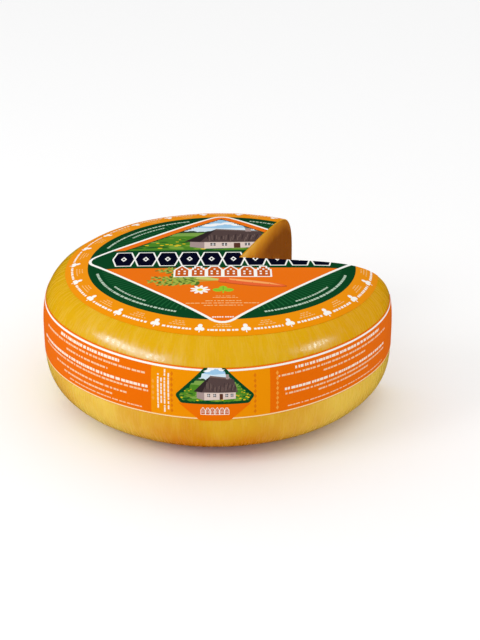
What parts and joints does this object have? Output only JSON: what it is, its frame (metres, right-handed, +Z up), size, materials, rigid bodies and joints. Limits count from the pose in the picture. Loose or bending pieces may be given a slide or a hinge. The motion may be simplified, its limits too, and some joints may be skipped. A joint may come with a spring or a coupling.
{
  "type": "carrot cheese wheel",
  "caption": "Low round wheel of orange-yellow cheese with a wedge cut out, a round printed label on its top and a printed paper band round its side.",
  "frame": {"origin": "on the flat base, on the wheel's axis", "axes": "+Z up along the wheel's axis; -Y towards the middle of the side band's print; the missing wedge lies between +X and +Y"},
  "size_m": [0.2511, 0.2514, 0.0957],
  "materials": {
    "cheese": "coated golden-yellow rind, satin to glossy; pale dense paste where it is cut",
    "top_label": "printed paper, satin",
    "side_band": "printed paper, satin"
  },
  "bodies": {
    "root": {"cheese": "cheese", "top_label": "top_label", "side_band": "side_band"}
  },
  "joints": []
}
